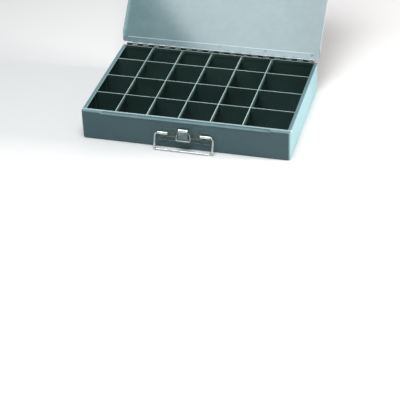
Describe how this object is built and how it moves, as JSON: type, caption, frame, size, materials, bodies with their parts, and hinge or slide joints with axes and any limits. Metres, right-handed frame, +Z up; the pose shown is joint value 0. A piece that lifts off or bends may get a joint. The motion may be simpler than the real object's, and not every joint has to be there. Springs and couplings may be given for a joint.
{
  "type": "compartment storage box",
  "caption": "Shallow sheet-steel storage box with a slotted compartment insert, a lid on a continuous hinge, a draw latch and a wire bail handle; shown open.",
  "frame": {"origin": "centre of the pan's underside, on the surface that the box stands on", "axes": "+X to the right as seen from the latch side, +Y from the latch side to the hinge side, +Z up"},
  "size_m": [0.4618, 0.5432, 0.3028],
  "materials": {
    "body_paint": "semi-gloss grey-green enamel",
    "lid_paint": "semi-gloss grey-green enamel",
    "insert_paint": "semi-gloss grey-green enamel",
    "hinge_paint": "semi-gloss grey-green enamel",
    "plated_steel": "bright zinc plate",
    "plated_wire": "bright zinc plate",
    "pin_steel": "plain drawn steel"
  },
  "bodies": {
    "box_body": {"body_pan": "body_paint", "left_liner": "insert_paint", "long_divider_1": "insert_paint", "long_divider_2": "insert_paint", "long_divider_3": "insert_paint", "long_divider_4": "insert_paint", "long_divider_5": "insert_paint", "cross_divider_1": "insert_paint", "cross_divider_2": "insert_paint", "cross_divider_3": "insert_paint", "hinge_body_leaf": "hinge_paint", "hinge_pin": "pin_steel", "latch_base_plate": "plated_steel", "lever_pin": "pin_steel"},
    "lid": {"lid_pan": "lid_paint", "hinge_lid_leaf": "hinge_paint", "lid_catch": "plated_steel"},
    "bail": {"bail_handle": "plated_wire"},
    "lever": {"latch_lever": "plated_steel"},
    "ring": {"latch_ring": "plated_wire"}
  },
  "joints": [
    {"name": "lid_hinge", "type": "hinge", "parent": "box_body", "child": "lid", "pos_m": [0, 0.1549, 0.07015], "axis": [1, 0, 0], "range_deg": [0, 135]},
    {"name": "bail_pivot", "type": "hinge", "parent": "box_body", "child": "bail", "pos_m": [0, -0.15591, 0.0368], "axis": [-1, 0, 0], "range_deg": [-20, 147.5]},
    {"name": "lever_pivot", "type": "hinge", "parent": "box_body", "child": "lever", "pos_m": [0, -0.1586, 0.0476], "axis": [-1, 0, 0], "range_deg": [0, 60]},
    {"name": "ring_pivot", "type": "hinge", "parent": "lever", "child": "ring", "pos_m": [0, -0.1586, 0.0426], "axis": [-1, 0, 0], "range_deg": [0, 111]}
  ]
}
